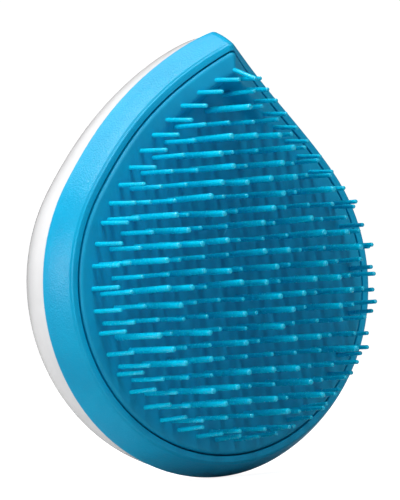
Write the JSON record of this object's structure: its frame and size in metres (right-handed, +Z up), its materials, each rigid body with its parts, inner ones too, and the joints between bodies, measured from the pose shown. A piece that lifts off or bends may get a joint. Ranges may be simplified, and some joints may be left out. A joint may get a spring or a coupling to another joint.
{
  "type": "scalp massager brush",
  "caption": "Palm-held scalp massager brush with a domed white back shell, a flared teardrop grip ring and a field of soft short and long bristles.",
  "frame": {"origin": "centre of the bounding box at its bottom, with the brush standing upright", "axes": "+Z up towards the pointed end, -Y the way the bristles point, +Y out of the domed back, X across the brush"},
  "size_m": [0.082, 0.05, 0.0948],
  "materials": {
    "shell_white": "gloss",
    "plate_white": "matt",
    "screw_steel": "satin",
    "ring_blue": "fine-grained satin",
    "pad_blue": "satin",
    "bristle_blue": "satin, slightly translucent"
  },
  "bodies": {
    "root": {"back_shell": "shell_white", "retaining_plate": "plate_white", "plate_screws": "screw_steel", "grip_ring": "ring_blue", "bristle_pad": "pad_blue", "edge_bristles": "bristle_blue", "short_bristles": "bristle_blue", "long_bristles": "bristle_blue"}
  },
  "joints": []
}
